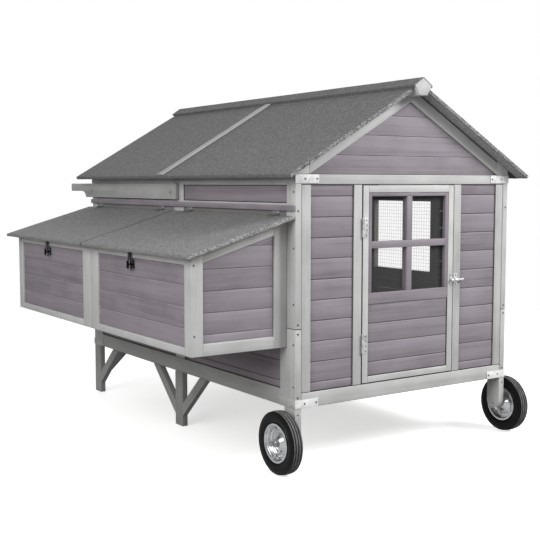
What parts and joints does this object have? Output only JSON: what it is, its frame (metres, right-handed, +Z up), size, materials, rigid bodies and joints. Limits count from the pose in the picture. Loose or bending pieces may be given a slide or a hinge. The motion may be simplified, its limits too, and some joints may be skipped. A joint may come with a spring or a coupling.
{
  "type": "chicken tractor",
  "caption": "Wheeled timber poultry house with a gable felt roof, a windowed front door, a lidded nest box along one side and lifting handles at the rear.",
  "frame": {"origin": "on the ground under the middle of the object's box", "axes": "+X to the right as one faces the door, +Y from the door to the rear, +Z up"},
  "size_m": [1.746, 2.251, 1.5792],
  "materials": {
    "light_paint": "light grey painted softwood, grain faintly raised",
    "mauve_paint": "mauve grey stained softwood boards",
    "roofing_felt": "mineral granules on bitumen felt",
    "bare_wood": "bare plywood and softwood",
    "zinc_steel": "bright zinc plated",
    "plate_paint": "light grey powder coat, satin",
    "mesh_wire": "galvanised wire",
    "black_steel": "black powder coat, semi gloss",
    "tyre_rubber": "moulded black rubber",
    "clear_pane": "clear acrylic sheet"
  },
  "bodies": {
    "house": {"front_wall_frame": "light_paint", "front_wall_boards": "mauve_paint", "rear_wall_frame": "light_paint", "rear_wall_boards": "mauve_paint", "left_wall_frame": "light_paint", "left_wall_boards": "mauve_paint", "right_wall_frame": "light_paint", "right_wall_boards": "mauve_paint", "window_mesh": "mesh_wire", "gable_frames": "light_paint", "gable_boards": "mauve_paint", "eave_plates": "light_paint", "ridge_beam": "light_paint", "ridge_felt": "roofing_felt", "roof_decks": "bare_wood", "roof_felt": "roofing_felt", "roof_battens": "light_paint", "floor_panels": "bare_wood", "floor_joists": "bare_wood", "roosts": "bare_wood", "nest_frame": "light_paint", "nest_boards": "mauve_paint", "nest_floor": "bare_wood", "nest_divider": "bare_wood", "hinge_strip": "mauve_paint", "lid_hinge_plates": "zinc_steel", "handles": "light_paint", "handle_bolts": "zinc_steel", "wheel_legs": "light_paint", "support_legs": "light_paint", "leg_braces": "light_paint", "corner_plates": "plate_paint", "frame_screws": "zinc_steel", "wheel_axles": "zinc_steel", "axle_nuts": "zinc_steel", "door_hinge_plates": "zinc_steel", "bolt_guide": "zinc_steel", "latch_plates": "black_steel"},
    "door": {"door_frame": "light_paint", "door_boards": "mauve_paint", "window_surround": "mauve_paint", "window_muntins": "mauve_paint", "window_pane": "clear_pane", "door_hinge_leaves": "zinc_steel", "bolt_keeper": "zinc_steel"},
    "bolt": {"door_bolt": "zinc_steel"},
    "front_lid": {"front_lid_board": "bare_wood", "front_lid_felt": "roofing_felt", "front_lid_hardware": "zinc_steel"},
    "rear_lid": {"rear_lid_board": "bare_wood", "rear_lid_felt": "roofing_felt", "rear_lid_hardware": "zinc_steel"},
    "front_strap": {"front_strap": "black_steel"},
    "rear_strap": {"rear_strap": "black_steel"},
    "front_knob": {"front_knob": "black_steel"},
    "rear_knob": {"rear_knob": "black_steel"},
    "left_wheel": {"left_tyre": "tyre_rubber", "left_rim": "zinc_steel"},
    "right_wheel": {"right_tyre": "tyre_rubber", "right_rim": "zinc_steel"}
  },
  "joints": [
    {"name": "door_hinge", "type": "hinge", "parent": "house", "child": "door", "pos_m": [-0.061, -1.042, 0.731], "axis": [0, 0, -1], "range_deg": [0, 150]},
    {"name": "bolt_slide", "type": "slide", "parent": "house", "child": "bolt", "axis": [-1, 0, 0], "range_m": [0, 0.018]},
    {"name": "front_lid_hinge", "type": "hinge", "parent": "house", "child": "front_lid", "pos_m": [-0.399, -0.5505, 1.0245], "axis": [0, 1, 0], "range_deg": [0, 75]},
    {"name": "rear_lid_hinge", "type": "hinge", "parent": "house", "child": "rear_lid", "pos_m": [-0.399, 0.391, 1.0245], "axis": [0, 1, 0], "range_deg": [0, 75]},
    {"name": "front_strap_hinge", "type": "hinge", "parent": "front_lid", "child": "front_strap", "pos_m": [-0.836, -0.482, 0.87536], "axis": [0, 1, 0], "range_deg": [0, 70]},
    {"name": "rear_strap_hinge", "type": "hinge", "parent": "rear_lid", "child": "rear_strap", "pos_m": [-0.836, 0.431, 0.87536], "axis": [0, 1, 0], "range_deg": [0, 70]},
    {"name": "front_knob_turn", "type": "hinge", "parent": "house", "child": "front_knob", "pos_m": [-0.827, -0.482, 0.81536], "axis": [1, 0, 0], "range_deg": [0, 90]},
    {"name": "rear_knob_turn", "type": "hinge", "parent": "house", "child": "rear_knob", "pos_m": [-0.827, 0.431, 0.81536], "axis": [1, 0, 0], "range_deg": [0, 90]},
    {"name": "left_wheel_spin", "type": "hinge", "parent": "house", "child": "left_wheel", "pos_m": [-0.44, -0.9985, 0.127], "axis": [1, 0, 0], "continuous": true},
    {"name": "right_wheel_spin", "type": "hinge", "parent": "house", "child": "right_wheel", "pos_m": [0.826, -0.9985, 0.127], "axis": [1, 0, 0], "continuous": true}
  ]
}
